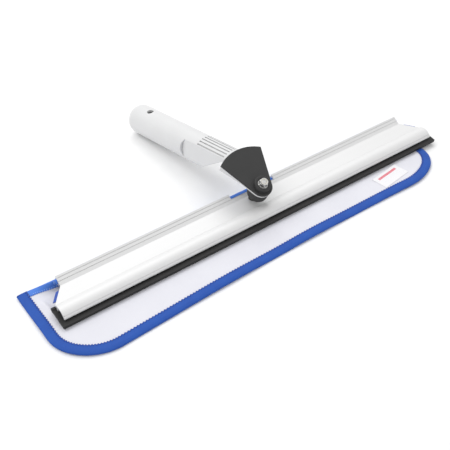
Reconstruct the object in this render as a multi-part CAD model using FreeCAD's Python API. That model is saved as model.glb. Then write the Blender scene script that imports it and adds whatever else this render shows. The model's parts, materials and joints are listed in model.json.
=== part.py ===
import FreeCAD, Part
import math
import os

from FreeCAD import Placement, Rotation, Vector

# Window squeegee with a flip-over washing pad, lying ready for use on a flat surface.
# X runs along the channel, -Y is the wiping side, +Y the handle side, +Z is up.
# The origin is on the surface, under the middle of the channel's front lip.
# All sizes are millimetres and degrees.

# ---- channel: a long aluminium extrusion ------------------------------------------------
channel_length = 457.0        # along the front lip, an 18 inch head
channel_wall = 1.6
lip_height = 10.0             # the front lip above the surface
bulge_top_y, bulge_top_z = 8.2, 15.5
front_crease_y, front_crease_z = 16.9, 12.5
back_crease_y, back_crease_z = 34.75, 13.5
ridge_y, ridge_z = 43.0, 18.85
corner_setback = 14.4         # each end is cut off slantwise over the web, this far at the back
fine_line_width, fine_line_depth = 0.55, 0.35
ridge_line_shares = (0.40, 0.75)
lip_line_rise = 1.9           # the fine line above the front lip
notch_left, notch_right = -21.2, 34.0    # opening in the back ridge behind the swivel
notch_front_y = 38.5
bead_groove_radius = 2.7
bead_groove_wall = 1.3
bead_groove_shift = 0.8       # the groove sits this far behind the ridge's middle
groove_mouth_angle = -25.0    # which way the bead groove opens, from +Y
groove_mouth_half_angle = 50.0
lip_bead_below, lip_bead_above = 1.2, 1.6    # the thickened lip, below and above its front line
rear_wall_gap = 0.6           # the rear wall of the blade's jaws stops this far under the crease
bead_rib_thickness = 1.4
bead_rib_gap = 0.6            # from the rib in front of the blade's bead to the bead
seam_overlap = 1.2            # how far the walls run into each other where they join

# ---- rubber blade -----------------------------------------------------------------------
blade_overhang = 3.7          # past the lip at each end
blade_front_y = -4.6
blade_tip_height = 3.3        # underside of the wiping edge
blade_thickness = 3.2
blade_slope = 7.5             # the strip rises towards the back
blade_depth = 22.0            # from the wiping edge to the middle of its bead
blade_bead_radius = 2.5
blade_clearance = 0.15
jaw_wall = 1.3
jaw_reach = 9.0               # how far the lower jaw comes forward

# ---- swivel -----------------------------------------------------------------------------
swivel_tilt = 27.0            # the bolt leans this far forward of upright
pivot_y, pivot_z = 16.7, 37.6 # where the bolt axis crosses the guard's top face
guard_radius = 44.6
guard_half_angle = 34.4
guard_turn = 5.2              # the guard and neck lie this far to the right of the grip
guard_thickness = 2.4
guard_nose_radius = 11.3
guard_boss_radius = 8.7
guard_boss_height = 4.8
guard_boss_rounding = 0.9
guard_rim_rounding = 0.5
nut_recess_radius = 5.7
nut_recess_floor = 1.2        # above the guard's top face
neck_nose_thickness = 2.4
neck_root_thickness = 9.0
neck_inset = 0.7              # the neck's edge inside the guard's edge
neck_half_angle_inset = 1.0
knuckle_radius = 10.8
knuckle_bottom = 17.4         # below the guard's top face, along the bolt
knuckle_top_rounding, knuckle_bottom_rounding = 0.8, 3.0
foot_radius = 5.0             # the post that carries the knuckle on the channel's web
foot_y = 29.5
foot_peg_radius, foot_peg_offset = 1.2, 3.6  # stops the post from turning on its screw
foot_peg_clearance = 0.1
bolt_radius = 2.5
bolt_length_above = 8.4       # bolt end above the guard's top face
bolt_end_chamfer = 0.5
bolt_head_flats, bolt_head_height = 8.0, 3.5
bolt_clearance = 0.25
bush_wall = 1.0
running_clearance = 0.05
friction_washer_thickness = 0.6
friction_washer_radius = 9.5
washer_radius = 5.2
plain_washer_thickness = 0.8
tooth_washer_thickness = 0.7
tooth_count, tooth_length = 10, 1.3
tooth_gap_width = 1.1
nut_flats, nut_height = 8.0, 4.0
nut_crown_height = 1.2        # the chamfered top of the nut
lock_collar_radius, lock_collar_wall, lock_collar_height = 3.9, 0.6, 1.2
lock_ring_recess = 0.2        # the nylon ring below the collar's rim
base_screw_radius, base_screw_head_radius = 1.7, 3.4
base_screw_head_height, base_screw_length = 2.0, 9.0
base_screw_clearance = 0.2    # in the web
guard_screw_radius, guard_screw_head_radius = 1.2, 2.3
guard_screw_head_height, guard_screw_length = 1.2, 5.0
guard_screw_depth = 0.8       # tip below the guard's top face
guard_screw_x, guard_screw_p = 9.0, 25.0

# ---- handle -----------------------------------------------------------------------------
handle_swing = 6.4            # to the left of straight back
handle_length = 214.0         # bolt axis to tail end, along the grip
handle_radius = 16.6
handle_wall = 2.8
handle_axis_rise = 9.4        # grip axis above the guard's top face, at the bolt
tail_rounding = 12.0
flank_flat_distance = 13.6    # grip axis to the flat on each flank
flank_flat_angle = 74.0       # the flat faces this far round from the top
flank_flat_start = 98.0
flank_scoop_radius = 14.0
groove_count, groove_pitch_angle = 6, 13.3
groove_width, groove_depth = 1.3, 0.9
groove_start = 89.0           # along the grip, from the bolt
groove_end_radius = 47.5      # from the bolt axis
front_cut_p, front_cut_m = 46.0, -13.5   # a point on the slanted front of the grip
front_cut_angle = 63.0        # the slanted front rises this steeply against the neck
guard_clearance = 0.4         # between the guard's arc and the grip behind it
solid_front_length = 6.0      # the grip is solid this far behind the guard
screw_recess_clearance = 0.1
hang_hole_radius = 3.75
hang_hole_place = 182.0

# ---- washing pad ------------------------------------------------------------------------
pad_left, pad_right = -248.0, 220.0
pad_front_y = -44.0
pad_corner_radius = 41.0
cloth_thickness = 1.5
backing_thickness = 0.9
binding_width = 9.0
binding_wrap = 0.5            # fabric thickness of the binding
riser_y = 46.2                # middle of the upright back of the pad, and its fold
riser_bend_radius = 6.0
hinge_z = 11.3                # height of the fold where the pad turns about the groove
hinge_gap = 0.6
sleeve_tail_gap = 2.2         # the sleeve's tail stops this far short of the fold
sleeve_tail_thickness = 1.6
sleeve_end_inset = 1.0        # the bead shows this much past its sleeve
hem_height = 5.2
hem_link_width, hem_link_depth = 6.0, 2.0    # where the flap's hem climbs to the upright hem
riser_end_gap = 1.0
left_flap_back_y = 56.0
left_flap_width = 31.0
bead_clearance = 0.3          # between the covered bead and its groove
sleeve_fabric = 0.9
bead_end_overhang = 3.0       # past the channel's back corner
label_length, label_width, label_thickness = 39.0, 19.0, 0.4
label_gap = 0.02
label_x, label_y, label_turn = 148.5, -19.0, 8.0
strip_y, strip_width, strip_thickness = 27.0, 10.0, 1.8
strip_overhang = 4.0          # past the channel's slanted corners
soft_gap = 0.3

# ---- sizes that follow ------------------------------------------------------------------
pad_thickness = cloth_thickness + backing_thickness
binding_top = pad_thickness + binding_wrap
bead_sleeve_radius = bead_groove_radius - bead_clearance
bead_radius = bead_sleeve_radius - sleeve_fabric
half_channel = channel_length / 2
half_channel_back = half_channel - corner_setback
web_angle = math.atan2(back_crease_z - front_crease_z, back_crease_y - front_crease_y)
ridge_angle = math.atan2(ridge_z - back_crease_z, ridge_y - back_crease_y)
blade_angle = math.radians(blade_slope)
far = 2 * channel_length      # longer than anything that is cut
through = 0.1                 # how far a piece runs into another before the two are fused

os.makedirs("parts", exist_ok=True)


def save(name, shape):
    """Write one sub-part, made of one or more solids."""
    shape.exportStep("parts/%s.step" % name)


def box(x0, x1, y0, y1, z0, z1):
    return Part.makeBox(x1 - x0, y1 - y0, z1 - z0, Vector(x0, y0, z0))


def rod(radius, z0, z1, x=0.0, y=0.0):
    return Part.makeCylinder(radius, z1 - z0, Vector(x, y, z0))


def ring(outer, inner, z0, z1):
    return rod(outer, z0, z1).cut(rod(inner, z0, z1))


def prism(points, z0, z1):
    """A closed outline of (x, y) points, carried along Z."""
    loop = [Vector(x, y, z0) for x, y in points]
    return Part.Face(Part.makePolygon(loop + loop[:1])).extrude(Vector(0, 0, z1 - z0))


def section(points, x0, x1):
    """A closed outline of (y, z) points, carried along X."""
    loop = [Vector(x0, y, z) for y, z in points]
    return Part.Face(Part.makePolygon(loop + loop[:1])).extrude(Vector(x1 - x0, 0, 0))


def hexagon(flats, z0, z1):
    corner = flats / math.sqrt(3)
    turns = [k * math.pi / 3 for k in range(6)]
    return prism([(corner * math.cos(a), corner * math.sin(a)) for a in turns], z0, z1)


def bar(radius, y, z, x0, x1):
    return Part.makeCylinder(radius, x1 - x0, Vector(x0, y, z), Vector(1, 0, 0))


def fused(shapes):
    whole = shapes[0]
    for extra in shapes[1:]:
        whole = whole.fuse(extra)
    return whole.removeSplitter()


def level_edges(shape, z):
    """The edges that lie in the plane at this height."""
    return [e for e in shape.Edges
            if abs(e.BoundBox.ZMin - z) < 0.01 and abs(e.BoundBox.ZMax - z) < 0.01]


def on_swivel(shape, swing=0.0):
    """Carry a shape from the bolt's frame, Z along the bolt, to the object's frame."""
    turn = Rotation(Vector(1, 0, 0), swivel_tilt).multiply(Rotation(Vector(0, 0, 1), swing))
    moved = shape.copy()
    moved.Placement = Placement(Vector(0, pivot_y, pivot_z), turn).multiply(shape.Placement)
    return moved


def circle_through(a, b, c):
    """Middle and radius of the circle through three (y, z) points."""
    aa, bb, cc = (p[0] ** 2 + p[1] ** 2 for p in (a, b, c))
    twice = 2 * ((b[0] - a[0]) * (c[1] - a[1]) - (c[0] - a[0]) * (b[1] - a[1]))
    y = ((bb - aa) * (c[1] - a[1]) - (cc - aa) * (b[1] - a[1])) / twice
    z = ((b[0] - a[0]) * (cc - aa) - (c[0] - a[0]) * (bb - aa)) / twice
    return y, z, math.hypot(a[0] - y, a[1] - z)


def step_below(direction, distance):
    """The (y, z) step to the lower side of a line that runs at this angle."""
    return distance * math.sin(direction), -distance * math.cos(direction)


def web_top(y):
    """Height of the web's upper face."""
    return front_crease_z + (y - front_crease_y) * math.tan(web_angle)


# ---- where the channel's inner features lie ----------------------------------------------
lip = (0.0, lip_height)
front_crease = (front_crease_y, front_crease_z)
back_crease = (back_crease_y, back_crease_z)
ridge_top = (ridge_y, ridge_z)
bulge_y, bulge_z, bulge_radius = circle_through(lip, (bulge_top_y, bulge_top_z), front_crease)
groove_step = step_below(ridge_angle, channel_wall + bead_groove_radius)
groove_y = (back_crease_y + ridge_y) / 2 + groove_step[0] + bead_groove_shift
groove_z = (back_crease_z + ridge_z) / 2 + groove_step[1]
groove_outer = bead_groove_radius + bead_groove_wall

blade_middle_z = blade_tip_height + blade_thickness / 2
blade_bead_y = blade_front_y + blade_depth * math.cos(blade_angle)
blade_bead_z = blade_middle_z + blade_depth * math.sin(blade_angle)
jaw_top = blade_bead_z - blade_bead_radius - blade_clearance
jaw_back = blade_bead_y + blade_bead_radius + blade_clearance


def rubber_strip(half_length, grow):
    """The flat strip with its round bead, grown all round by a clearance."""
    half = blade_thickness / 2 + grow
    along = (math.cos(blade_angle), math.sin(blade_angle))
    up = (-along[1] * half, along[0] * half)
    front = (blade_front_y - grow * along[0], blade_middle_z)
    back = (blade_bead_y, blade_bead_z)
    outline = [(front[0] + up[0], front[1] + up[1]), (back[0] + up[0], back[1] + up[1]),
               (back[0] - up[0], back[1] - up[1]), (front[0] - up[0], front[1] - up[1])]
    bead = bar(blade_bead_radius + grow, blade_bead_y, blade_bead_z, -half_length, half_length)
    return fused([section(outline, -half_length, half_length), bead])


def channel_section(x0, x1):
    """The extrusion's walls, before its grooves and fine lines are cut."""
    shell = bar(bulge_radius, bulge_y, bulge_z, x0, x1)
    shell = shell.cut(bar(bulge_radius - channel_wall, bulge_y, bulge_z, x0, x1))
    bulge = shell.common(section([lip, front_crease, (front_crease_y, far), (-far, far),
                                  (-far, lip_height)], x0, x1))
    skin = 0.02
    lip_bead = box(x0, x1, skin, channel_wall, lip_height - lip_bead_below,
                   lip_height + lip_bead_above)
    lip_bead = lip_bead.common(bar(bulge_radius + skin, bulge_y, bulge_z, x0, x1))

    web_step = step_below(web_angle, channel_wall)
    web_front = front_crease_y - seam_overlap
    web = section([(web_front, web_top(web_front)), back_crease,
                   (back_crease_y + web_step[0], back_crease_z + web_step[1]),
                   (web_front, front_crease_z + web_step[1])], x0, x1)
    ridge_step = step_below(ridge_angle, channel_wall)
    ridge = section([back_crease, ridge_top,
                     (ridge_y + ridge_step[0], ridge_z + ridge_step[1]),
                     (back_crease_y + ridge_step[0], back_crease_z + ridge_step[1]),
                     (back_crease_y, back_crease_z - channel_wall)], x0, x1)

    groove = bar(groove_outer, groove_y, groove_z, x0, x1)
    rear_wall = box(x0, x1, jaw_back, jaw_back + jaw_wall, jaw_top - jaw_wall,
                    front_crease_z - rear_wall_gap)
    lower_jaw = box(x0, x1, jaw_back - jaw_reach, jaw_back + jaw_wall, jaw_top - jaw_wall, jaw_top)
    rib_back = blade_bead_y - blade_bead_radius - bead_rib_gap
    bead_rib = box(x0, x1, rib_back - bead_rib_thickness, rib_back, blade_bead_z,
                   bulge_top_z - channel_wall / 2)
    return fused([bulge, lip_bead, web, ridge, groove, rear_wall, lower_jaw, bead_rib])


def behind_corner(side, overhang):
    """What is cut off an end: straight behind the back crease, slantwise over the web."""
    corner, back = half_channel + overhang, half_channel_back + overhang
    return prism([(side * corner, front_crease_y), (side * far, front_crease_y),
                  (side * far, far), (side * back, far), (side * back, back_crease_y)], -far, far)


def head_channel():
    x0, x1 = -half_channel, half_channel
    body = channel_section(x0, x1).cut(bar(bead_groove_radius, groove_y, groove_z, x0, x1))
    mouth = [(groove_y, groove_z)]
    for side in (-1, 1):
        turn = math.radians(groove_mouth_angle + side * groove_mouth_half_angle)
        past = 2 * groove_outer
        mouth.append((groove_y + past * math.cos(turn), groove_z + past * math.sin(turn)))
    body = body.cut(section(mouth, x0, x1))
    body = body.cut(rubber_strip(half_channel, blade_clearance))

    for share in ridge_line_shares:
        line = box(x0, x1, -fine_line_width / 2, fine_line_width / 2, -fine_line_depth, 1.0)
        line.rotate(Vector(0, 0, 0), Vector(1, 0, 0), math.degrees(ridge_angle))
        line.translate(Vector(0, back_crease_y + share * (ridge_y - back_crease_y),
                              back_crease_z + share * (ridge_z - back_crease_z)))
        body = body.cut(line)
    lip_line_z = lip_height + lip_line_rise
    lip_line_y = bulge_y - math.sqrt(bulge_radius ** 2 - (lip_line_z - bulge_z) ** 2)
    body = body.cut(bar(fine_line_width / 2, lip_line_y, lip_line_z, x0, x1))

    body = body.cut(box(notch_left, notch_right, notch_front_y, far, groove_z, far))
    for side in (-1, 1):
        body = body.cut(behind_corner(side, 0))
    body = body.cut(rod(base_screw_radius + base_screw_clearance, 0, far, 0, foot_y))
    body = body.cut(rod(foot_peg_radius + foot_peg_clearance, 0, far, foot_peg_offset, foot_y))
    return body.removeSplitter()


def hook_strip():
    front, back = strip_y - strip_width / 2, strip_y + strip_width / 2
    glue = 0.05
    drop = channel_wall + glue
    strip = section([(front, web_top(front) - drop), (back, web_top(back) - drop),
                     (back, web_top(back) - drop - strip_thickness),
                     (front, web_top(front) - drop - strip_thickness)],
                    -half_channel - strip_overhang, half_channel + strip_overhang)
    for side in (-1, 1):
        strip = strip.cut(behind_corner(side, strip_overhang))
    return strip.cut(rod(base_screw_head_radius + soft_gap, 0, far, 0, foot_y))


# ---- swivel, in the bolt's frame: Z along the bolt, Y straight back, X to the right --------
bush_radius = bolt_radius + running_clearance + bush_wall
neck_top = -guard_thickness
neck_nose_bottom = neck_top - neck_nose_thickness
knuckle_top = neck_nose_bottom - friction_washer_thickness - 2 * running_clearance
stack_bottom = nut_recess_floor + running_clearance
plain_washer_bottom = stack_bottom + friction_washer_thickness
tooth_washer_bottom = plain_washer_bottom + plain_washer_thickness
nut_bottom = tooth_washer_bottom + tooth_washer_thickness
nut_top = nut_bottom + nut_height
bolt_head_top = bolt_head_height - knuckle_bottom
washer_bore = bolt_radius + bolt_clearance
guard_screw_top = -guard_screw_depth
guard_screw_head_top = guard_screw_top - guard_screw_length


def sector(radius, half_angle, nose, z0, z1):
    """A fan with a round nose at the bolt and an arc at the back, carried along Z."""
    a = math.radians(half_angle)
    corner = (radius * math.sin(a), radius * math.cos(a))
    side = a - math.asin(nose / radius)
    touch = (nose * math.cos(side), -nose * math.sin(side))
    arc = Part.Arc(Vector(-corner[0], corner[1], z0), Vector(0, radius, z0),
                   Vector(corner[0], corner[1], z0)).toShape()
    front = Part.Arc(Vector(touch[0], touch[1], z0), Vector(0, -nose, z0),
                     Vector(-touch[0], touch[1], z0)).toShape()
    right = Part.makeLine(Vector(corner[0], corner[1], z0), Vector(touch[0], touch[1], z0))
    left = Part.makeLine(Vector(-touch[0], touch[1], z0), Vector(-corner[0], corner[1], z0))
    return Part.Face(Part.Wire([arc, right, front, left])).extrude(Vector(0, 0, z1 - z0))


def swivel_guard():
    plate = sector(guard_radius, guard_half_angle, guard_nose_radius, neck_top, 0)
    boss = rod(guard_boss_radius, -through, guard_boss_height)
    guard = fused([plate, boss])
    guard = guard.makeFillet(guard_boss_rounding, level_edges(guard, guard_boss_height))
    rim = [e for e in level_edges(guard, 0) if e.CenterOfMass.Length > guard_boss_radius / 4]
    guard = guard.makeFillet(guard_rim_rounding, rim)
    guard = guard.cut(rod(nut_recess_radius, nut_recess_floor, far))
    guard = guard.cut(rod(bush_radius, -far, far))
    for x in (-guard_screw_x, guard_screw_x):
        guard = guard.cut(rod(guard_screw_radius, -far, guard_screw_top, x, guard_screw_p))
    return guard


def guard_screws():
    screws = []
    for x in (-guard_screw_x, guard_screw_x):
        shank = rod(guard_screw_radius, guard_screw_head_top, guard_screw_top, x, guard_screw_p)
        head = rod(guard_screw_head_radius, guard_screw_head_top - guard_screw_head_height,
                   guard_screw_head_top, x, guard_screw_p)
        screws.append(fused([shank, head]))
    return Part.makeCompound(screws)


def pivot_bush():
    return ring(bush_radius, bolt_radius + running_clearance, neck_nose_bottom, nut_recess_floor)


def pivot_bolt():
    shank = rod(bolt_radius, bolt_head_top - through, bolt_length_above)
    shank = shank.makeChamfer(bolt_end_chamfer, level_edges(shank, bolt_length_above))
    head = hexagon(bolt_head_flats, bolt_head_top - bolt_head_height, bolt_head_top)
    return fused([shank, head])


def nut():
    body = hexagon(nut_flats, nut_bottom, nut_top)
    corner = nut_flats / math.sqrt(3)
    shoulder = nut_top - nut_crown_height
    crown = Part.makeCone(corner + nut_crown_height / 2, nut_flats / 2 - nut_crown_height / 4,
                          nut_crown_height, Vector(0, 0, shoulder))
    body = body.cut(rod(2 * nut_flats, shoulder, nut_top).cut(crown))
    collar = rod(lock_collar_radius, nut_top - through, nut_top + lock_collar_height)
    whole = fused([body, collar]).cut(rod(bolt_radius, 0, far))
    return whole.cut(rod(lock_collar_radius - lock_collar_wall, nut_top, far))


def nut_lock_ring():
    return ring(lock_collar_radius - lock_collar_wall, bolt_radius, nut_top,
                nut_top + lock_collar_height - lock_ring_recess)


def tooth_washer():
    z0, z1 = tooth_washer_bottom, nut_bottom
    washer = ring(washer_radius, washer_bore, z0, z1)
    for k in range(tooth_count):
        gap = box(washer_radius - tooth_length, far, -tooth_gap_width / 2, tooth_gap_width / 2,
                  z0, z1)
        gap.rotate(Vector(0, 0, 0), Vector(0, 0, 1), 360.0 * k / tooth_count)
        washer = washer.cut(gap)
    return washer


def plain_washer():
    return ring(washer_radius, washer_bore, plain_washer_bottom, tooth_washer_bottom)


def upper_friction_washer():
    return ring(washer_radius, washer_bore, stack_bottom, plain_washer_bottom)


def lower_friction_washer():
    return ring(friction_washer_radius, washer_bore, knuckle_top,
                knuckle_top + friction_washer_thickness)


def base_screw():
    seat = web_top(foot_y - base_screw_head_radius) - channel_wall
    shank = rod(base_screw_radius, seat - through, seat + base_screw_length, 0, foot_y)
    head = rod(base_screw_head_radius, seat - base_screw_head_height, seat, 0, foot_y)
    return fused([shank, head])


def pivot_base():
    """The knuckle under the neck, the post that stands on the web and its locating peg."""
    barrel = rod(knuckle_radius, -knuckle_bottom, knuckle_top)
    barrel = barrel.makeFillet(knuckle_top_rounding, level_edges(barrel, knuckle_top))
    barrel = barrel.makeFillet(knuckle_bottom_rounding, level_edges(barrel, -knuckle_bottom))
    under_web = section([(foot_y - far, web_top(foot_y - far)), (foot_y + far, web_top(foot_y + far)),
                         (foot_y + far, -far), (foot_y - far, -far)], -far, far)
    inside = on_swivel(rod(knuckle_radius - knuckle_bottom_rounding, -knuckle_bottom,
                           bolt_head_top))
    post_top = inside.BoundBox.ZMax
    post = rod(foot_radius, 0, post_top, 0, foot_y).cut(under_web)
    above = on_swivel(box(-far, far, -far, far, bolt_head_top, far))
    peg_bottom = web_top(foot_y + foot_peg_radius) - channel_wall
    peg = rod(foot_peg_radius, peg_bottom, web_top(foot_y) + foot_radius, foot_peg_offset, foot_y)
    base = fused([on_swivel(barrel), post.cut(above), peg])
    return base.cut(on_swivel(pivot_bolt())).cut(base_screw())


# ---- handle: its grip is made along +Y, then drooped so that the tail meets the surface ----
tilt = math.radians(swivel_tilt)
swing = math.radians(handle_swing)
tail_reach = handle_length - tail_rounding
rise_back, rise_up = math.cos(swing) * math.sin(tilt), math.cos(tilt)
tail_drop = (handle_radius - pivot_z - handle_axis_rise * rise_up) / tail_reach
handle_droop = math.degrees(math.acos(tail_drop / math.hypot(rise_back, rise_up))
                            - math.atan2(rise_up, rise_back))
grip_place = Placement(Vector(0, 0, handle_axis_rise), Rotation(Vector(1, 0, 0), -handle_droop))


def placed(shape, place):
    moved = shape.copy()
    moved.Placement = place.multiply(shape.Placement)
    return moved


def on_neck(shape):
    """Turn a shape about the bolt, from straight behind the grip to where the neck lies."""
    return placed(shape, Placement(Vector(0, 0, 0), Rotation(Vector(0, 0, 1), -guard_turn)))


def grip_rod(radius, start, end, rounding):
    """A round bar along the grip, with its tail end rounded."""
    solid = Part.makeCylinder(radius, end - start, Vector(0, start, 0), Vector(0, 1, 0))
    tail = [e for e in solid.Edges if e.BoundBox.YMin > end - 0.01]
    return solid.makeFillet(rounding, tail) if rounding > 0 else solid


def flank_cut(side):
    """The flat on one flank and the round scoop where it ends."""
    flat = box(flank_flat_distance, far, 0, flank_flat_start, -far, far)
    scoop = Part.makeCylinder(flank_scoop_radius, far,
                              Vector(flank_flat_distance, flank_flat_start, 0), Vector(1, 0, 0))
    cut = flat.fuse(scoop)
    cut.rotate(Vector(0, 0, 0), Vector(0, 1, 0), flank_flat_angle - 90)
    return cut if side > 0 else cut.mirror(Vector(0, 0, 0), Vector(1, 0, 0))


def grip_outside():
    grip = grip_rod(handle_radius, guard_nose_radius, handle_length, tail_rounding)
    for side in (-1, 1):
        grip = grip.cut(flank_cut(side))
    groove_stop = placed(on_neck(rod(groove_end_radius, -far, far)), grip_place.inverse())
    for k in range(groove_count):
        slot = box(-groove_width / 2, groove_width / 2, 0, groove_start,
                   handle_radius - groove_depth, far)
        slot.rotate(Vector(0, 0, 0), Vector(0, 1, 0),
                    (k - (groove_count - 1) / 2) * groove_pitch_angle)
        grip = grip.cut(slot.cut(groove_stop))
    return grip


def grip_hollow():
    """The inside of the grip, narrower where the flanks are flat."""
    wide_start = flank_flat_start + flank_scoop_radius
    wide = grip_rod(handle_radius - handle_wall, wide_start, handle_length - handle_wall,
                    tail_rounding - handle_wall)
    narrow = grip_rod(flank_flat_distance - handle_wall, 0, wide_start + through, 0)
    return fused([wide, narrow])


def neck():
    """The plate under the guard, which grows thicker towards the grip."""
    plate = sector(guard_radius - neck_inset, guard_half_angle - neck_half_angle_inset,
                   guard_nose_radius - neck_inset / 2, neck_top - neck_root_thickness, neck_top)
    slope = ((neck_root_thickness - neck_nose_thickness) / (guard_radius - guard_nose_radius))
    under = section([(guard_nose_radius, neck_nose_bottom), (-far, neck_nose_bottom),
                     (-far, -far), (far, -far),
                     (far, neck_nose_bottom - (far - guard_nose_radius) * slope)], -far, far)
    return on_neck(plate.cut(under))


def handle_body():
    a = math.radians(front_cut_angle)
    cut_top = front_cut_p - (neck_top - front_cut_m) / math.tan(a)
    cut_bottom = front_cut_p + far * math.cos(a)
    front_cut = section([(cut_top, neck_top), (cut_bottom, front_cut_m - far * math.sin(a)),
                         (-far, front_cut_m - far * math.sin(a)), (-far, neck_top)], -far, far)
    over_neck = rod(guard_radius + guard_clearance, neck_top, far)
    near_bolt = box(-far, far, -far, guard_nose_radius, -far, far)
    grip = placed(grip_outside(), grip_place).cut(over_neck).cut(front_cut).cut(near_bolt)
    body = fused([grip, neck()])
    solid_front = rod(guard_radius + solid_front_length, -far, far)
    body = body.cut(placed(grip_hollow(), grip_place).cut(solid_front))
    body = body.cut(rod(bush_radius, -far, far))
    for x in (-guard_screw_x, guard_screw_x):
        hole = rod(guard_screw_radius, -far, far, x, guard_screw_p)
        recess = rod(guard_screw_head_radius + screw_recess_clearance, -far,
                     guard_screw_head_top, x, guard_screw_p)
        body = body.cut(on_neck(hole)).cut(on_neck(recess))
    hole = rod(hang_hole_radius, -far, far, 0, hang_hole_place)
    return body.cut(placed(hole, grip_place)).removeSplitter()


# ---- pad ---------------------------------------------------------------------------------
bend_y = riser_y - riser_bend_radius
bend_z = pad_thickness / 2 + riser_bend_radius
riser_top = hinge_z - hinge_gap
riser_left = pad_left + left_flap_width + riser_end_gap
riser_right = pad_right - binding_wrap - riser_end_gap


def pad_outline(inset, z0, z1):
    """The part of the pad that lies flat, with two round front corners and a left flap."""
    left, right, front = pad_left + inset, pad_right - inset, pad_front_y + inset
    slab = box(left, right, front, bend_y, z0, z1)
    corners = [e for e in slab.Edges if e.BoundBox.ZLength > 0 and e.CenterOfMass.y < front + 1]
    slab = slab.makeFillet(pad_corner_radius - inset, corners)
    flap = box(left, pad_left + left_flap_width, 0, left_flap_back_y - inset, z0, z1)
    return fused([slab, flap])


def riser(inner_offset, outer_offset):
    """Where the pad bends up to the groove: a quarter bend and a short upright."""
    x0, x1 = riser_left, riser_right
    outer, inner = riser_bend_radius + outer_offset, riser_bend_radius + inner_offset
    bend = bar(outer, bend_y, bend_z, x0, x1).cut(bar(inner, bend_y, bend_z, x0, x1))
    bend = bend.common(box(x0, x1, bend_y, bend_y + outer, bend_z - outer, bend_z))
    upright = box(x0, x1, bend_y + inner, bend_y + outer, bend_z, riser_top)
    return bend.fuse(upright)


def pad_cloth():
    middle = pad_thickness / 2
    return fused([pad_outline(binding_wrap, 0, cloth_thickness),
                  riser(middle - cloth_thickness, middle)])


def pad_backing():
    middle = pad_thickness / 2
    return fused([pad_outline(binding_wrap, cloth_thickness, pad_thickness),
                  riser(-middle, backing_thickness - middle)])


def edge_binding():
    """A tape folded over the pad's edge, along the front, both ends and the left flap."""
    band = pad_outline(0, 0, binding_top).cut(pad_outline(binding_width, -far, far))
    band = band.cut(box(-far, far, bend_y - soft_gap, far, -far, far))
    flap_side = box(pad_left, pad_left + binding_width, bend_y - binding_width,
                    left_flap_back_y, 0, binding_top)
    return fused([band, flap_side]).cut(pad_outline(binding_wrap, -far, pad_thickness))


def back_hem():
    """A tape over the pad's upright back edge, and over the back of the left flap."""
    half = pad_thickness / 2 + binding_wrap
    upright = box(riser_left, riser_right, riser_y - half, riser_y + half,
                  riser_top - hem_height, riser_top + binding_wrap)
    inner_y = riser_y + half - 2 * binding_wrap
    link_right = riser_left + hem_link_width
    link = box(riser_left, link_right, inner_y, riser_y + half + hem_link_depth, 0, riser_top)
    flat = box(pad_left + binding_width + soft_gap, link_right, inner_y, left_flap_back_y, 0,
               binding_top)
    hem = fused([upright, link, flat]).cut(pad_outline(binding_wrap, -far, pad_thickness))
    return hem.cut(riser(-pad_thickness / 2, pad_thickness / 2))


def care_label():
    label = box(-label_length / 2, label_length / 2, -label_width / 2, label_width / 2, 0,
                label_thickness)
    label.rotate(Vector(0, 0, 0), Vector(0, 0, 1), label_turn)
    label.translate(Vector(label_x, label_y, pad_thickness + label_gap))
    return label


def hem_bead():
    end = half_channel_back + bead_end_overhang
    return bar(bead_radius, groove_y, groove_z, -end, end)


def bead_sleeve():
    """The fabric round the bead, with a flat tail that leaves through the groove's mouth."""
    end = half_channel_back + bead_end_overhang - sleeve_end_inset
    turn = math.radians(groove_mouth_angle)
    out = (math.cos(turn), math.sin(turn))
    length = (riser_y - sleeve_tail_gap - groove_y) / out[0]
    half = sleeve_tail_thickness / 2
    tail = box(-end, end, 0, length, -half, half)
    tail.rotate(Vector(0, 0, 0), Vector(1, 0, 0), groove_mouth_angle)
    tail.translate(Vector(0, groove_y, groove_z))
    sleeve = fused([bar(bead_sleeve_radius, groove_y, groove_z, -end, end), tail])
    return sleeve.cut(bar(bead_radius, groove_y, groove_z, -far, far))


save("head_channel", head_channel())
save("rubber_blade", rubber_strip(half_channel + blade_overhang, 0.0))
save("hook_strip", hook_strip())
save("pivot_base", pivot_base())
save("base_screw", base_screw())
for name, piece in (("pivot_bolt", pivot_bolt()), ("pivot_nut", nut()),
                    ("nut_lock_ring", nut_lock_ring()), ("tooth_washer", tooth_washer()),
                    ("plain_washer", plain_washer()),
                    ("upper_friction_washer", upper_friction_washer()),
                    ("lower_friction_washer", lower_friction_washer())):
    save(name, on_swivel(piece))
save("handle_body", on_swivel(handle_body(), handle_swing))
for name, piece in (("swivel_guard", swivel_guard()), ("guard_screws", guard_screws()),
                    ("pivot_bush", pivot_bush())):
    save(name, on_swivel(on_neck(piece), handle_swing))
for name, piece in (("pad_cloth", pad_cloth()), ("pad_backing", pad_backing()),
                    ("edge_binding", edge_binding()), ("back_hem", back_hem()),
                    ("care_label", care_label()), ("hem_bead", hem_bead()),
                    ("bead_sleeve", bead_sleeve())):
    save(name, piece)
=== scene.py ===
import json
import math

import bmesh
import bpy
from mathutils import Matrix, Vector


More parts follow.
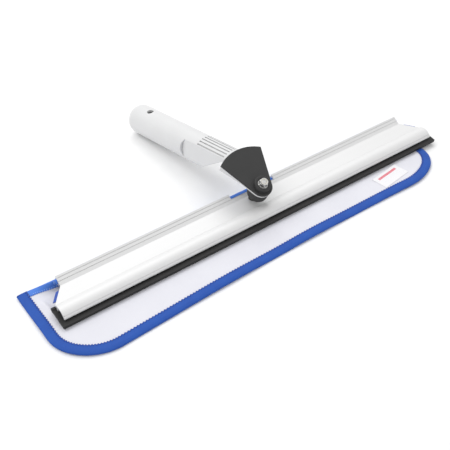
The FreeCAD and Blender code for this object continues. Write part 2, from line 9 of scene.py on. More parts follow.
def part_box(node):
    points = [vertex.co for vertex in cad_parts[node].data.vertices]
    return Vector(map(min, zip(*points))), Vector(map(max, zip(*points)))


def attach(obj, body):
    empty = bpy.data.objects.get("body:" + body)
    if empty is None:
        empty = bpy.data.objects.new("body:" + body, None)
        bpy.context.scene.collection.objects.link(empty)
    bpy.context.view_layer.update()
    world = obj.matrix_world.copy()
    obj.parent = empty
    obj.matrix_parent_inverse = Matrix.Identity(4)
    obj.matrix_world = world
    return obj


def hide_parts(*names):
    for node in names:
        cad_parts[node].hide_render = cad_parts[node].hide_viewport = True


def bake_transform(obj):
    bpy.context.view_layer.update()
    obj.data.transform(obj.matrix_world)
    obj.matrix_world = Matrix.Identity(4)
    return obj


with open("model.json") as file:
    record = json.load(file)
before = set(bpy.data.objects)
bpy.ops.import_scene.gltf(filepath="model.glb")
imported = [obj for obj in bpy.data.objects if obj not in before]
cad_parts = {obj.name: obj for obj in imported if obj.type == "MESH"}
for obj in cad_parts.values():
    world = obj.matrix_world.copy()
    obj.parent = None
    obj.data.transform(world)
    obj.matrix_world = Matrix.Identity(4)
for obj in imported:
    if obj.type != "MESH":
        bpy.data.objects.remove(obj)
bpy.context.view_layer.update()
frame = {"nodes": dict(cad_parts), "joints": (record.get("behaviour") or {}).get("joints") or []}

MM = 0.001


# ---- shader maths ----------------------------------------------------------------------
class Level:
    """A shader value. Arithmetic on it adds the Math nodes that work it out."""

    def __init__(self, finish, socket):
        self.finish, self.socket = finish, socket

    def math(self, operation, *inputs):
        return self.finish.add("ShaderNodeMath", {"operation": operation},
                               dict(enumerate(inputs)))

    def __add__(self, other):
        return self.math("ADD", self, other)

    def __rsub__(self, other):
        return self.math("SUBTRACT", other, self)

    def __mul__(self, other):
        return self.math("MULTIPLY", self, other)

    def __lt__(self, other):
        return self.math("LESS_THAN", self, other)

    def __gt__(self, other):
        return self.math("GREATER_THAN", self, other)

    __radd__ = __add__
    __rmul__ = __mul__

    def wave(self, pitch):
        """A sine from 0 to 1 that repeats at this pitch."""
        return self.math("SINE", self * (2 * math.pi / pitch)) * 0.5 + 0.5

    def also(self, output):
        """Another output of the node that this value comes from."""
        return Level(self.finish, self.socket.node.outputs[output])


class Finish:
    """A material, with one method that adds any node to it."""

    def __init__(self, name):
        self.material = bpy.data.materials.new(name)
        self.material.use_nodes = True
        self.nodes = self.material.node_tree.nodes
        self.links = self.material.node_tree.links
        self.shader = self.nodes["Principled BSDF"]

    def add(self, kind, settings=None, inputs=None, output=0):
        node = self.nodes.new(kind)
        for name, value in (settings or {}).items():
            setattr(node, name, value)
        for name, value in (inputs or {}).items():
            self.feed(node.inputs[name], value)
        return Level(self, node.outputs[output])

    def feed(self, socket, value):
        if isinstance(value, Level):
            self.links.new(value.socket, socket)
        else:
            socket.default_value = value

    def set(self, **sockets):
        for name, value in sockets.items():
            self.feed(self.shader.inputs[name.replace("_", " ")], value)
        return self

    def place(self):
        return self.add("ShaderNodeTexCoord", output="Object")

    def cloth_place(self):
        """Metres along and across the cloth, from the piece's own map."""
        return self.add("ShaderNodeUVMap", {"uv_map": "cloth"})

    def stretched(self, vector, scale):
        return self.add("ShaderNodeVectorMath", {"operation": "MULTIPLY"}, {0: vector, 1: scale})

    def noise(self, vector, scale, detail=3.0):
        return self.add("ShaderNodeTexNoise", None,
                        {"Vector": vector, "Scale": scale, "Detail": detail})

    def mix(self, share, first, second):
        return self.add("ShaderNodeMix", {"data_type": "RGBA"}, {0: share, 6: first, 7: second},
                        output=2)

    def bump(self, height, depth, strength=1.0, normal=None):
        inputs = {"Height": height, "Distance": depth, "Strength": strength}
        if normal is not None:
            inputs["Normal"] = normal
        return self.add("ShaderNodeBump", None, inputs)

    def soft_edges(self, radius):
        return self.add("ShaderNodeBevel", {"samples": 4}, {"Radius": radius})

    def crevice_shade(self, distance):
        """0 deep in a crevice, 1 in the open: an occlusion mask that the finishes use to paint
        shade into their colour.
        """
        return self.add("ShaderNodeAmbientOcclusion", {"samples": 6, "only_local": True},
                        {"Distance": distance}, output="AO")


def grey(level):
    return (level, level, level, 1.0)


# ---- finishes ----------------------------------------------------------------------------
def satin_aluminium():
    """Anodised extrusion, with faint die lines along its length and painted shade darkening it
    towards grey 0.52 in each crevice.
    """
    look = Finish("satin_aluminium")
    place = look.place()
    lines = look.noise(look.stretched(place, (2.0, 1500.0, 1500.0)), 1.0, 2.0)
    fine = look.noise(look.stretched(place, (30.0, 5000.0, 5000.0)), 1.0, 1.0)
    cloud = look.noise(place, 14.0)
    open_face = look.crevice_shade(1.2 * MM)
    bright = look.mix(lines * 0.5 + cloud * 0.5, grey(0.72), grey(0.79))
    # Painted shade: the colour goes to grey 0.52 in each crevice.
    colour = look.mix(open_face, grey(0.52), bright)
    return look.set(Base_Color=colour, Metallic=0.3,
                    Roughness=0.50 + lines * 0.1 + fine * 0.06,
                    Normal=look.bump(lines * 0.6 + fine * 0.4, 0.02 * MM, 0.5,
                                     look.soft_edges(0.25 * MM))).material


def moulded(name, dark, light, roughness, grain, grain_depth, edge, crevice=None):
    """A moulded plastic or rubber: a fine grain, faint flow clouds, softened edges and, where a
    crevice colour is given, painted shade in each crevice.
    """
    look = Finish(name)
    place = look.place()
    grains = look.noise(place, grain, 2.0)
    cloud = look.noise(place, 45.0)
    colour = look.mix(cloud, dark, light)
    if crevice is not None:
        # Painted shade: the colour goes to the crevice colour in each crevice.
        colour = look.mix(look.crevice_shade(1.6 * MM), crevice, colour)
    return look.set(Base_Color=colour, Roughness=roughness + cloud * 0.08 + grains * 0.05,
                    Normal=look.bump(grains, grain_depth, 0.6,
                                     look.soft_edges(edge))).material


def bright_steel():
    """Zinc-plated steel, with turning marks and painted shade, near black, in each crevice."""
    look = Finish("bright_steel")
    place = look.place()
    marks = look.noise(look.stretched(place, (900.0, 900.0, 5200.0)), 1.0, 2.0)
    patches = look.noise(place, 420.0)
    # Painted shade: the colour goes to grey 0.10 in each crevice.
    colour = look.mix(look.crevice_shade(1.0 * MM), grey(0.10),
                      look.mix(patches, grey(0.58), (0.86, 0.86, 0.84, 1.0)))
    return look.set(Base_Color=colour, Metallic=1.0, Roughness=0.18 + marks * 0.2,
                    Normal=look.bump(marks, 0.02 * MM, 0.7, look.soft_edges(0.2 * MM))).material


def woven_tape(name, dark, light, rib_pitch, sheen):
    """Ribbed polyester tape: ribs across it, fine yarns along it, its colour lighter on the weave's
    high spots, and painted shade in each crevice.
    """
    look = Finish(name)
    along = look.add("ShaderNodeSeparateXYZ", None, {"Vector": look.cloth_place()})
    across = along.also("Y")
    ribs = along.wave(rib_pitch)
    yarns = across.wave(rib_pitch * 0.7)
    fuzz = look.noise(look.place(), 2600.0, 2.0)
    cloud = look.noise(look.place(), 70.0)
    weave = ribs * 0.55 + yarns * 0.25 + fuzz * 0.2
    colour = look.mix(weave * 0.5 + cloud * 0.5, dark, light)
    # Painted shade: each crevice darkens to a third of the dark colour.
    colour = look.mix(look.crevice_shade(1.0 * MM), tuple(c * 0.3 for c in dark[:3]) + (1.0,), colour)
    look.set(Base_Color=colour, Roughness=0.62 + fuzz * 0.15,
             Normal=look.bump(weave, 0.10 * MM, 0.7))
    return look.set(Sheen_Weight=sheen, Sheen_Roughness=0.4).material


def backing_fabric():
    """Dense white backing cloth with a faint cool cast, a plain weave and a light brushing."""
    look = Finish("backing_fabric")
    along = look.add("ShaderNodeSeparateXYZ", None, {"Vector": look.cloth_place()})
    across = along.also("Y")
    weave = along.wave(0.7 * MM) * across.wave(0.7 * MM)
    fuzz = look.noise(look.place(), 1500.0, 3.0)
    cloud = look.noise(look.place(), 26.0)
    colour = look.mix(cloud * 0.6 + fuzz * 0.4, (0.68, 0.68, 0.74, 1.0), (0.80, 0.80, 0.85, 1.0))
    # Painted shade: each crevice darkens towards a cool grey.
    colour = look.mix(look.crevice_shade(2.0 * MM), (0.50, 0.50, 0.60, 1.0), colour)
    look.set(Base_Color=colour, Roughness=0.85 + fuzz * 0.1,
             Normal=look.bump(weave * 0.6 + fuzz * 0.4, 0.12 * MM, 0.6))
    return look.set(Sheen_Weight=0.1, Sheen_Roughness=0.5).material


def microfibre_pile():
    """The washing face: a short white pile of looped tufts, darker and bluer in the gaps between
    the tufts.
    """
    look = Finish("microfibre_pile")
    place = look.cloth_place()
    tufts = look.add("ShaderNodeTexVoronoi", {"feature": "F1"}, {"Vector": place, "Scale": 900.0})
    fuzz = look.noise(look.place(), 3200.0, 3.0)
    cloud = look.noise(look.place(), 40.0)
    height = 1.0 - tufts * 1.4
    colour = look.mix(height * 0.7 + cloud * 0.3, (0.52, 0.54, 0.62, 1.0),
                      (0.90, 0.91, 0.94, 1.0))
    look.set(Base_Color=colour, Roughness=0.9 + fuzz * 0.08,
             Normal=look.bump(height + fuzz * 0.3, 0.5 * MM, 0.9))
    return look.set(Sheen_Weight=0.5, Sheen_Roughness=0.45).material


def sewing_thread(name, dark, light):
    """Twisted thread: light and dark bands along each stitch."""
    look = Finish(name)
    twist = look.noise(look.place(), 2400.0, 1.0)
    return look.set(Base_Color=look.mix(twist, dark, light), Roughness=0.55 + twist * 0.2,
                    Normal=look.bump(twist, 0.05 * MM, 0.8)).material


def label_satin(stripe_start, stripe_end):
    """White satin ribbon with one plain printed stripe."""
    look = Finish("label_satin")
    along = look.add("ShaderNodeSeparateXYZ", None, {"Vector": look.cloth_place()})
    across = along.also("Y")
    yarns = across.wave(0.35 * MM)
    print_wear = look.noise(look.place(), 900.0, 2.0)
    stripe = (across > stripe_start) * (across < stripe_end)
    stripe = stripe * (print_wear * 0.5 + 0.6)
    stripe = stripe * (along > 5.0 * MM) * (along < 34.0 * MM)
    colour = look.mix(yarns, (0.80, 0.79, 0.82, 1.0), (0.90, 0.90, 0.92, 1.0))
    colour = look.mix(stripe, colour, (0.72, 0.11, 0.16, 1.0))
    return look.set(Base_Color=colour, Roughness=0.35 + print_wear * 0.2,
                    Normal=look.bump(yarns, 0.04 * MM, 0.6)).material


aluminium = satin_aluminium()
steel = bright_steel()
black_plastic = moulded("black_plastic", grey(0.020), grey(0.032), 0.55, 1900.0, 0.05 * MM,
                        0.3 * MM)
black_rubber = moulded("black_rubber", grey(0.007), grey(0.014), 0.58, 2600.0, 0.04 * MM,
                       0.15 * MM)
# The crevice colour, grey 0.38, is painted shade in the handle's grooves.
white_plastic = moulded("white_plastic", (0.66, 0.662, 0.665, 1.0), (0.70, 0.702, 0.705, 1.0),
                        0.34, 1300.0, 0.03 * MM, 0.5 * MM, crevice=grey(0.38))
nylon = moulded("natural_nylon", (0.62, 0.60, 0.52, 1.0), (0.74, 0.72, 0.64, 1.0), 0.38, 2200.0,
                0.03 * MM, 0.15 * MM)
bead_plastic = moulded("bead_plastic", (0.10, 0.20, 0.52, 1.0), (0.16, 0.30, 0.66, 1.0), 0.4,
                       2200.0, 0.03 * MM, 0.2 * MM)
blue_tape = woven_tape("blue_tape", (0.002, 0.045, 0.30, 1.0), (0.008, 0.105, 0.50, 1.0),
                       0.55 * MM, 0.02)
hem_tape = woven_tape("hem_tape", (0.03, 0.14, 0.58, 1.0), (0.10, 0.27, 0.80, 1.0), 0.55 * MM,
                      0.05)
hook_fabric = woven_tape("hook_fabric", (0.02, 0.06, 0.32, 1.0), (0.05, 0.12, 0.50, 1.0),
                         0.8 * MM, 0.1)
backing = backing_fabric()
pile = microfibre_pile()
dark_thread = sewing_thread("dark_blue_thread", (0.010, 0.035, 0.24, 1.0),
                            (0.025, 0.08, 0.42, 1.0))
light_thread = sewing_thread("light_thread", (0.42, 0.56, 0.90, 1.0), (0.68, 0.78, 0.97, 1.0))

NODE_FINISHES = {
    aluminium: ["head_channel"],
    black_rubber: ["rubber_blade"],
    black_plastic: ["pivot_base", "swivel_guard"],
    white_plastic: ["handle_body"],
    steel: ["pivot_bolt", "pivot_nut", "tooth_washer", "plain_washer", "base_screw",
            "guard_screws"],
    nylon: ["nut_lock_ring", "upper_friction_washer", "lower_friction_washer", "pivot_bush"],
    bead_plastic: ["hem_bead"],
}
for finish, names in NODE_FINISHES.items():
    for name in names:
        node_mesh = frame["nodes"][name].data
        node_mesh.materials.clear()
        node_mesh.materials.append(finish)


# ---- making pieces -----------------------------------------------------------------------
def piece_from(shape, name, finish):
    """An object at the origin from a finished bmesh."""
    mesh = bpy.data.meshes.new(name)
    shape.to_mesh(mesh)
    shape.free()
    mesh.materials.append(finish)
    piece = bpy.data.objects.new(name, mesh)
    bpy.context.scene.collection.objects.link(piece)
    return piece


def cloth_grid(name, finish, columns, rows, place, size, thickness, offset=0.0):
    """A cloth with its map in metres. place(u, v) gives where each point of it lies."""
    shape = bmesh.new()
    bmesh.ops.create_grid(shape, x_segments=columns, y_segments=rows, size=0.5, calc_uvs=True)
    chart = shape.loops.layers.uv.active or shape.loops.layers.uv.new("UVMap")
    for face in shape.faces:
        face.smooth = True
        for corner in face.loops:
            u, v = corner.vert.co.x + 0.5, corner.vert.co.y + 0.5
            corner[chart].uv = (u * size[0], v * size[1])
    for point in shape.verts:
        point.co = place(point.co.x + 0.5, point.co.y + 0.5)
    piece = piece_from(shape, name, finish)
    piece.data.uv_layers[0].name = "cloth"
    if thickness:
        wall = piece.modifiers.new("thickness", "SOLIDIFY")
        wall.thickness, wall.offset = thickness, offset
    return piece


def smooth(value, start, end):
    share = min(max((value - start) / (end - start), 0.0), 1.0)
    return share * share * (3 - 2 * share)


def between(first, second, share):
    return first + (second - first) * share


# ---- the pad's cloth: flat-cut places (x, back), lifted to where the cloth lies -----------
tape_low, tape_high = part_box("edge_binding")
hem_low, hem_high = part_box("back_hem")
sleeve_low, sleeve_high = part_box("bead_sleeve")
bead_low, bead_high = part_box("hem_bead")
fold = Vector(next(j for j in frame["joints"] if j["name"] == "pad_flip")["pos_m"])
bead_middle = (bead_low + bead_high) / 2

TAPE_THICKNESS = 0.5 * MM
PAD_THICKNESS = tape_high.z - TAPE_THICKNESS
PILE_THICKNESS = 1.5 * MM
BACKING_THICKNESS = PAD_THICKNESS - PILE_THICKNESS
TAPE_WIDTH = 9.0 * MM
HEM_WIDTH = 7.5 * MM
BEND_RADIUS = 6.0 * MM
BEND_BACK = fold.y - BEND_RADIUS
FOLD_GAP = 0.6 * MM
RISE_START, RISE_END = hem_low.x, sleeve_low.x + 2.0 * MM
LEFT_BACK = tape_high.y
RISEN_BACK = BEND_BACK + BEND_RADIUS * math.pi / 2 + (fold.z - FOLD_GAP - PAD_THICKNESS / 2
                                                      - BEND_RADIUS)
LEFT, RIGHT = tape_low.x, tape_high.x


FRONT_WAVE, FLAP_WAVE = 0.45 * MM, 0.5 * MM       # half the height of the cloth's gentle waves
CREASE_HEIGHT, CREASE_WIDTH = 2.2 * MM, 2.6 * MM  # the soft fold across the left flap
CREASE_X, CREASE_BACK, CREASE_LEAN = -231.5 * MM, 22 * MM, 0.12


def ripple(x, back):
    """How far the cloth's uneven lie lifts it."""
    waves = 1 + math.sin(x / (21 * MM) + 0.9 * math.sin(x / (47 * MM)))
    front = FRONT_WAVE * waves * smooth(-back, 8 * MM, 32 * MM)
    side = smooth(-x, 229 * MM, 238 * MM)
    flap = FLAP_WAVE * (1 + math.sin(back / (11 * MM) + 1.0)) * side
    crease_x = CREASE_X - CREASE_LEAN * (back - CREASE_BACK)
    crease = CREASE_HEIGHT * math.exp(-((x - crease_x) / CREASE_WIDTH) ** 2)
    crease *= smooth(back, 6 * MM, 18 * MM) * (1 - smooth(back, 30 * MM, 42 * MM))
    return front + flap + crease


def lift(x, back, height):
    """Where a point of the flat-cut pad lies. height is above the middle of its thickness."""
    past = back - BEND_BACK
    quarter = BEND_RADIUS * math.pi / 2
    turn = min(max(past, 0.0), quarter) / BEND_RADIUS
    radius = BEND_RADIUS - height
    middle = PAD_THICKNESS / 2
    flat = Vector((x, back, middle + height))
    risen = Vector((x, min(back, BEND_BACK) + radius * math.sin(turn),
                    middle + BEND_RADIUS - radius * math.cos(turn) + max(past - quarter, 0.0)))
    share = smooth(x, RISE_START, RISE_END)
    place = flat.lerp(risen, share)
    place.z += ripple(x, back) + 2.0 * MM * share * (1 - share) * smooth(past, 0.0, quarter)
    return place


def back_edge(x):
    return between(LEFT_BACK, RISEN_BACK, smooth(x, RISE_START, RISE_END))


# The pad's outline: a left corner, a gently bowed front and a right corner.
SIDE_END = -4.0 * MM
LEFT_CORNER_X, LEFT_CORNER_DEPTH = -200.0 * MM, 43.6 * MM
RIGHT_CORNER_X, RIGHT_CORNER_DEPTH = 158.0 * MM, 38.0 * MM
RIGHT_FRONT_X = 213.0 * MM
STRAIGHTEST_X, STRAIGHTEST_Y = 67.0 * MM, -40.4 * MM


def front_edge(x):
    """The pad's front outline at this place along it."""
    if x < LEFT_CORNER_X:
        share = min((LEFT_CORNER_X - x) / (LEFT_CORNER_X - LEFT), 1.0)
        return SIDE_END - LEFT_CORNER_DEPTH * math.sqrt(1 - share ** 2)
    if x > RIGHT_CORNER_X:
        share = min((x - RIGHT_CORNER_X) / (RIGHT_FRONT_X - RIGHT_CORNER_X), 1.0)
        return SIDE_END - RIGHT_CORNER_DEPTH * math.sqrt(1 - share ** 2)
    if x < STRAIGHTEST_X:
        share = (STRAIGHTEST_X - x) / (STRAIGHTEST_X - LEFT_CORNER_X)
        return between(STRAIGHTEST_Y, SIDE_END - LEFT_CORNER_DEPTH, share ** 1.9)
    share = (x - STRAIGHTEST_X) / (RIGHT_CORNER_X - STRAIGHTEST_X)
    return between(STRAIGHTEST_Y, SIDE_END - RIGHT_CORNER_DEPTH, share ** 2)


def side_slant(back):
    """The right end leans outwards towards the back."""
    return (RIGHT - RIGHT_FRONT_X) * smooth(back, SIDE_END, BEND_BACK)


def outline():
    """The bound edge, from the back of the left flap round the front to the right end's back."""
    steps = 60
    points = [(LEFT, between(LEFT_BACK, SIDE_END, k / steps)) for k in range(steps)]
    for k in range(steps):
        turn = k / steps * math.pi / 2
        x = LEFT_CORNER_X + (LEFT - LEFT_CORNER_X) * math.cos(turn)
        points.append((x, front_edge(x)))
    for k in range(4 * steps):
        x = between(LEFT_CORNER_X, RIGHT_CORNER_X, k / (4 * steps))
        points.append((x, front_edge(x)))
    for k in range(steps):
        turn = k / steps * math.pi / 2
        x = RIGHT_CORNER_X + (RIGHT_FRONT_X - RIGHT_CORNER_X) * math.sin(turn)
        points.append((x, front_edge(x)))
    for k in range(steps + 1):
        back = between(SIDE_END, RISEN_BACK - 0.5 * MM, k / steps)
        points.append((RIGHT_FRONT_X + side_slant(back), back))
    return [Vector((x, back)) for x, back in points]


class Edge:
    """A line on the flat-cut pad, followed by distance along it."""

    def __init__(self, points):
        self.points = points
        self.reached = [0.0]
        for a, b in zip(points, points[1:]):
            self.reached.append(self.reached[-1] + (b - a).length)
        self.length = self.reached[-1]

    def at(self, distance):
        """The point and the direction to its left at this distance."""
        low, high = 0, len(self.points) - 2
        while low < high:
            middle = (low + high + 1) // 2
            low, high = (middle, high) if self.reached[middle] <= distance else (low, middle - 1)
        step = self.reached[low + 1] - self.reached[low]
        share = (distance - self.reached[low]) / step
        a, b = self.points[low], self.points[low + 1]
        ahead = (b - a).normalized()
        return a.lerp(b, share), Vector((-ahead.y, ahead.x))


bound_edge = Edge(outline())
STITCH_PITCH = 3.2 * MM
SCALLOP = 0.35 * MM


def on_tape(edge, distance, inset, height):
    """A point on the pad at an inset from an edge line."""
    point, inward = edge.at(distance)
    place = point + inward * inset
    return lift(place.x, place.y, height)


def folded_tape(name, edge, finish, width, pitch, columns):
    """A tape folded over an edge: its upper side, its fold and its under side."""
    fold_length = PAD_THICKNESS * 0.8 * math.pi / 2
    whole = 2 * width + fold_length
    top, under = PAD_THICKNESS / 2 + TAPE_THICKNESS / 2, -PAD_THICKNESS / 2 + TAPE_THICKNESS / 2

    def place(u, v):
        distance = u * edge.length
        across = v * whole
        pull = SCALLOP * math.cos(2 * math.pi * distance / pitch)
        if across < width:
            inset = width - across
            near = smooth(inset, 0.6 * width, width)
            rounding = smooth(inset, 0.0, 2.5 * MM)
            pucker = 0.16 * MM * math.cos(2 * math.pi * distance / pitch) * near
            height = top - (1 - rounding) * 0.5 * MM + pucker
            height += 0.25 * MM * math.sin(math.pi * inset / width)
            return on_tape(edge, distance, inset + pull * near, height)
        if across < width + fold_length:
            turn = (across - width) / fold_length * math.pi
            radius = (top - 0.5 * MM - under) / 2
            middle = (top - 0.5 * MM + under) / 2
            return on_tape(edge, distance, -radius * 0.6 * math.sin(turn),
                           middle + radius * math.cos(turn))
        inset = across - width - fold_length
        near = smooth(inset, 0.6 * width, width)
        return on_tape(edge, distance, inset + pull * near, under)

    return cloth_grid(name, finish, columns, 26, place, (edge.length, whole), TAPE_THICKNESS)


def stitches(name, finish, ends, radius):
    """Short threads, each from one point to another, with ends that dive into the cloth."""
    shape = bmesh.new()
    for start, end in ends:
        run = end - start
        turn = run.to_track_quat("Z", "Y").to_matrix().to_4x4()
        size = Matrix.Diagonal((radius, radius, run.length / 2 + radius, 1.0))
        bmesh.ops.create_icosphere(shape, subdivisions=1, radius=1.0,
                                   matrix=Matrix.Translation((start + end) / 2) @ turn @ size)
    for face in shape.faces:
        face.smooth = True
    return piece_from(shape, name, finish)


def zigzag(edge, inner, outer, height, pitch):
    """The ends of a zigzag seam that runs along an edge between two insets."""
    ends = []
    for k in range(int(edge.length / pitch)):
        a, b, c = (k * pitch, (k + 0.5) * pitch, (k + 1) * pitch - 0.01 * MM)
        ends.append((on_tape(edge, a, inner, height), on_tape(edge, b, outer, height)))
        ends.append((on_tape(edge, b, outer, height), on_tape(edge, c, inner, height)))
    return ends


def running(edge, inset, height, pitch, stitch):
    """The ends of a straight seam's stitches."""
    count = int((edge.length - pitch) / pitch)
    return [(on_tape(edge, (k + 0.25) * pitch, inset, height),
             on_tape(edge, (k + 0.25) * pitch + stitch, inset, height)) for k in range(count)]


def cut_end(edge, width):
    """The ends of the loose yarns at a tape's raw cut end, above and below the pad."""
    count, yarn = 24, 0.8 * MM
    ends = []
    for height in (PAD_THICKNESS / 2 + TAPE_THICKNESS / 2, -PAD_THICKNESS / 2 + TAPE_THICKNESS / 2):
        for k in range(count):
            inset = width * (k + 0.5) / count
            ends.append((on_tape(edge, 0.0, inset, height), on_tape(edge, yarn, inset, height)))
    return ends


def pad_layer(name, finish, top, thickness, edge_thickness, columns, rows):
    """One layer of the pad. It thins under the tape that binds its edge."""
    inset = 2.0 * MM

    def flat(u, v):
        x = between(LEFT + inset, RIGHT_FRONT_X - inset, u)
        front = front_edge(x) + inset
        back = between(front, back_edge(x) - inset, v)
        return x + u * side_slant(back), back

    def place(u, v):
        x, back = flat(u, v)
        return lift(x, back, top)

    size = (RIGHT - LEFT - 2 * inset, LEFT_BACK + LEFT_CORNER_DEPTH)
    piece = cloth_grid(name, finish, columns, rows, place, size, thickness, -1.0)
    group = piece.vertex_groups.new(name="full_thickness")
    for point in piece.data.vertices:
        x, back = point.co.x, point.co.y
        depth = min(x - LEFT, RIGHT_FRONT_X + side_slant(back) - x,
                    back - front_edge(min(max(x, LEFT), RIGHT_FRONT_X)))
        group.add([point.index], smooth(depth, TAPE_WIDTH * 0.85, TAPE_WIDTH * 1.2), "REPLACE")
    wall = piece.modifiers["thickness"]
    wall.vertex_group = group.name
    wall.thickness_vertex_group = edge_thickness / thickness
    return piece


washing_pile = pad_layer("washing_pile", pile, PAD_THICKNESS / 2 - BACKING_THICKNESS,
                         PILE_THICKNESS, PILE_THICKNESS - 1.1 * MM, 240, 64)
pad_back = pad_layer("pad_back", backing, PAD_THICKNESS / 2, BACKING_THICKNESS,
                     BACKING_THICKNESS * 0.8, 300, 80)
binding = folded_tape("binding_tape", bound_edge, blue_tape, TAPE_WIDTH, STITCH_PITCH, 1500)
THREAD = 0.2 * MM
tape_seam = stitches("binding_seam", dark_thread,
                     zigzag(bound_edge, TAPE_WIDTH + 0.4 * MM, TAPE_WIDTH - 1.7 * MM,
                            PAD_THICKNESS / 2 + TAPE_THICKNESS + 0.1 * MM, STITCH_PITCH)
                     + cut_end(bound_edge, TAPE_WIDTH), 1.6 * THREAD)

hem_points = []
for k in range(241):
    x = between(hem_high.x, hem_low.x, k / 240)
    hem_points.append(Vector((x, back_edge(x))))
hem_edge = Edge(hem_points)
hem = folded_tape("back_hem_tape", hem_edge, hem_tape, HEM_WIDTH, 2.0 * MM, 900)
hem_seam = stitches("hem_seam", light_thread,
                    running(hem_edge, HEM_WIDTH - 1.7 * MM, PAD_THICKNESS / 2
                            + TAPE_THICKNESS + 0.12 * MM, 2.0 * MM, 0.9 * MM), THREAD)


# ---- the covered bead in the channel's groove, and the fold behind it ---------------------
def width_across(place, steps=30):
    """How wide a cloth is, measured over it halfway along."""
    points = [place(0.5, k / steps) for k in range(steps + 1)]
    return sum((b - a).length for a, b in zip(points, points[1:]))


def bead_cover():
    """The hem's fabric round the bead, with a flat tail towards the fold."""
    radius = (sleeve_high.z - sleeve_low.z) / 2 - 0.3 * MM
    tail = Vector((sleeve_high.y - 0.4 * MM, 11.75 * MM))
    out = (tail - Vector((bead_middle.y, bead_middle.z))).normalized()
    up = Vector((-out.y, out.x))
    middle = Vector((bead_middle.y, bead_middle.z))
    open_half = math.radians(42)

    def place(u, v):
        x = between(sleeve_low.x, sleeve_high.x, u)
        soft = 0.1 * MM * math.sin(x / (3.1 * MM)) + 0.08 * MM * math.sin(x / (1.7 * MM) + 1)
        side = v * 2 - 1
        if abs(side) > 0.8:
            share = (abs(side) - 0.8) / 0.2
            start = middle + radius * (out * math.cos(open_half)
                                       - math.copysign(1, side) * up * math.sin(open_half))
            end = tail - up * math.copysign(0.3 * MM, side)
            point = start.lerp(end, share)
        else:
            turn = math.pi - side / 0.8 * (math.pi - open_half)
            point = middle + (radius + soft) * (out * math.cos(turn) + up * math.sin(turn))
        return Vector((x, point.x, point.y))

    size = (sleeve_high.x - sleeve_low.x, width_across(place))
    return cloth_grid("bead_cover", hem_tape, 320, 30, place, size, 0.5 * MM), size


def fold_strip():
    """The cloth hinge between the bead's cover and the pad's hem."""
    start = Vector((0.0, sleeve_high.y - 0.9 * MM, 11.85 * MM))
    top = Vector((0.0, fold.y - 0.5 * MM, fold.z + 0.35 * MM))
    end = Vector((0.0, fold.y, fold.z - FOLD_GAP - 1.2 * MM))

    def place(u, v):
        x = between(RISE_END, hem_high.x - 0.6 * MM, u)
        point = start.lerp(top, v).lerp(top.lerp(end, v), v)
        return Vector((x, point.y, point.z + 0.06 * MM * math.sin(x / (2.3 * MM))))

    size = (hem_high.x - 0.6 * MM - RISE_END, width_across(place))
    strip = cloth_grid("fold_strip", hem_tape, 300, 10, place, size, 0.6 * MM)
    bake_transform(strip)
    return strip


cover, cover_size = bead_cover()
strip = fold_strip()


# ---- hook tape under the web --------------------------------------------------------------
WEB_SLOPE = 3.2               # degrees that the web rises towards the back
CORNER_SLANT = 14.4 / 17.85   # how far an end is cut off slantwise, for its depth
TAPE_BODY = 0.9 * MM          # the tape without its hooks
HOOK_PITCH, HOOK_HEIGHT, HOOK_ROWS = 1.5 * MM, 1.0 * MM, 6
HOOK_ROOT, HOOK_TIP = 0.42 * MM, 0.15 * MM
HOOK_MARGIN = 0.9 * MM        # from the tape's edge to its first row


def hook_tape():
    """A tape with rows of small hooks on its under side."""
    low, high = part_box("hook_strip")
    slope = math.tan(math.radians(WEB_SLOPE))

    def top_at(y):
        return high.z - (high.y - y) * slope

    def end_at(y):
        return high.x - (y - low.y) * CORNER_SLANT

    shape = bmesh.new()
    bmesh.ops.create_cube(shape, size=1.0)
    for point in shape.verts:
        y = between(low.y, high.y, point.co.y + 0.5)
        x = 2 * point.co.x * end_at(y)
        point.co = Vector((x, y, top_at(y) - (0.5 - point.co.z) * TAPE_BODY))
    bmesh.ops.bevel(shape, geom=list(shape.edges), offset=0.2 * MM, segments=2, profile=0.5,
                    affect="EDGES", material=-1)
    for i in range(int((high.x - low.x) / HOOK_PITCH) - 1):
        for k in range(HOOK_ROWS):
            x = low.x + (i + 0.75 + 0.5 * (k % 2)) * HOOK_PITCH
            y = between(low.y + HOOK_MARGIN, high.y - HOOK_MARGIN, k / (HOOK_ROWS - 1))
            if abs(x) > end_at(y) - HOOK_PITCH / 2:
                continue
            root = top_at(y) - TAPE_BODY
            matrix = Matrix.Translation((x, y, root - 0.45 * HOOK_HEIGHT))
            bmesh.ops.create_cone(shape, cap_ends=True, segments=4, radius1=HOOK_ROOT,
                                  radius2=HOOK_TIP, depth=HOOK_HEIGHT, matrix=matrix)
    tape = piece_from(shape, "hook_tape", hook_fabric)
    chart = tape.data.uv_layers.new(name="cloth")
    for corner in tape.data.loops:
        point = tape.data.vertices[corner.vertex_index].co
        chart.data[corner.index].uv = (point.x, point.y)
    return tape


hooks = hook_tape()


# ---- care label ----------------------------------------------------------------------------
LABEL_LENGTH, LABEL_WIDTH, LABEL_TURN = 39.0 * MM, 19.0 * MM, 8.0
STRIPE_START, STRIPE_END = 12.5 * MM, 15.5 * MM    # across the label, from its front edge


def care_label():
    """A satin label sewn down along its front edge, with its free edge slightly raised."""
    low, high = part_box("care_label")
    middle = (low + high) / 2
    turn = math.radians(LABEL_TURN)

    def place(u, v):
        along, across = (u - 0.5) * LABEL_LENGTH, (v - 0.5) * LABEL_WIDTH
        x = middle.x + along * math.cos(turn) - across * math.sin(turn)
        back = middle.y + along * math.sin(turn) + across * math.cos(turn)
        curl = 0.35 * MM * v * v + 0.18 * MM * math.sin(u * 7.0) * v
        return lift(x, back, PAD_THICKNESS / 2 + 0.2 * MM + curl)

    size = (LABEL_LENGTH, LABEL_WIDTH)
    label = cloth_grid("care_label_ribbon", label_satin(STRIPE_START, STRIPE_END), 60, 30, place,
                       size, 0.15 * MM)
    return label


label = care_label()

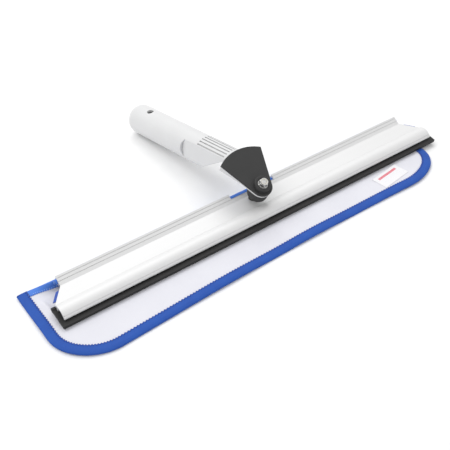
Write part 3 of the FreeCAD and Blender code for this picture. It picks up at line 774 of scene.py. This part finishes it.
# ---- what each piece stands for, and what it moves with ------------------------------------
for piece, body, slot, nodes in (
        (washing_pile, "pad", "microfibre", ["pad_cloth"]),
        (pad_back, "pad", "backing_cloth", ["pad_backing"]),
        (binding, "pad", "blue_tape", ["edge_binding"]),
        (tape_seam, "pad", "blue_tape", []),
        (hem, "pad", "blue_tape", ["back_hem"]),
        (hem_seam, "pad", "blue_tape", []),
        (label, "pad", "label_cloth", ["care_label"]),
        (cover, "head", "blue_tape", ["bead_sleeve"]),
        (hooks, "head", "blue_hook_tape", ["hook_strip"])):
    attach(piece, body)
    if nodes:
        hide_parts(*nodes)


def flat_area(inset):
    """The area of the flat-cut pad inside an inset, by strips along it."""
    count = 400
    left, right = LEFT + inset, RIGHT - inset
    step = (right - left) / count
    places = [left + (k + 0.5) * step for k in range(count)]
    return sum((back_edge(x) - front_edge(min(x, RIGHT_FRONT_X)) - 2 * inset) * step
               for x in places)


flat_area(2.0 * MM)
flat_area(2.0 * MM)

# ---- floor, light and camera -------------------------------------------------------------
TARGET = Vector((-38.677, 25.051, 0.0)) * MM
AZIMUTH, ELEVATION = math.radians(36.29), math.radians(42.0)
DISTANCE = 0.76193
FOCAL_LENGTH = 61.03

look_along = Vector((math.sin(AZIMUTH) * math.cos(ELEVATION),
                     math.cos(AZIMUTH) * math.cos(ELEVATION), -math.sin(ELEVATION)))
camera = bpy.data.objects.new("camera", bpy.data.cameras.new("camera"))
camera.data.lens, camera.data.sensor_width = FOCAL_LENGTH, 36.0
camera.location = TARGET - look_along * DISTANCE
camera.rotation_euler = look_along.to_track_quat("-Z", "Y").to_euler()
bpy.context.scene.collection.objects.link(camera)
bpy.context.scene.camera = camera


def area_light(name, place, size, power):
    light = bpy.data.objects.new(name, bpy.data.lights.new(name, "AREA"))
    light.data.shape, light.data.size, light.data.energy = "DISK", size, power
    light.location = place
    light.rotation_euler = (-Vector(place)).to_track_quat("-Z", "Y").to_euler()
    bpy.context.scene.collection.objects.link(light)


area_light("key_light", (-0.7, 0.7, 1.5), 1.2, 8.0)
area_light("back_light", (0.5, 1.0, 1.4), 1.2, 8.0)

world = bpy.data.worlds.new("studio")
world.use_nodes = True
world.node_tree.nodes["Background"].inputs["Color"].default_value = grey(1.0)
world.node_tree.nodes["Background"].inputs["Strength"].default_value = 0.82
bpy.context.scene.world = world
bpy.context.scene.view_settings.view_transform = "Standard"


def pale_floor():
    shape = bmesh.new()
    bmesh.ops.create_grid(shape, x_segments=1, y_segments=1, size=6.0)
    look = Finish("pale_floor")
    speckle = look.noise(look.place(), 60.0)
    look.set(Base_Color=look.mix(speckle, grey(0.90), grey(0.94)), Roughness=0.9)
    floor = piece_from(shape, "floor", look.material)
    floor.location.z = -0.05 * MM


pale_floor()
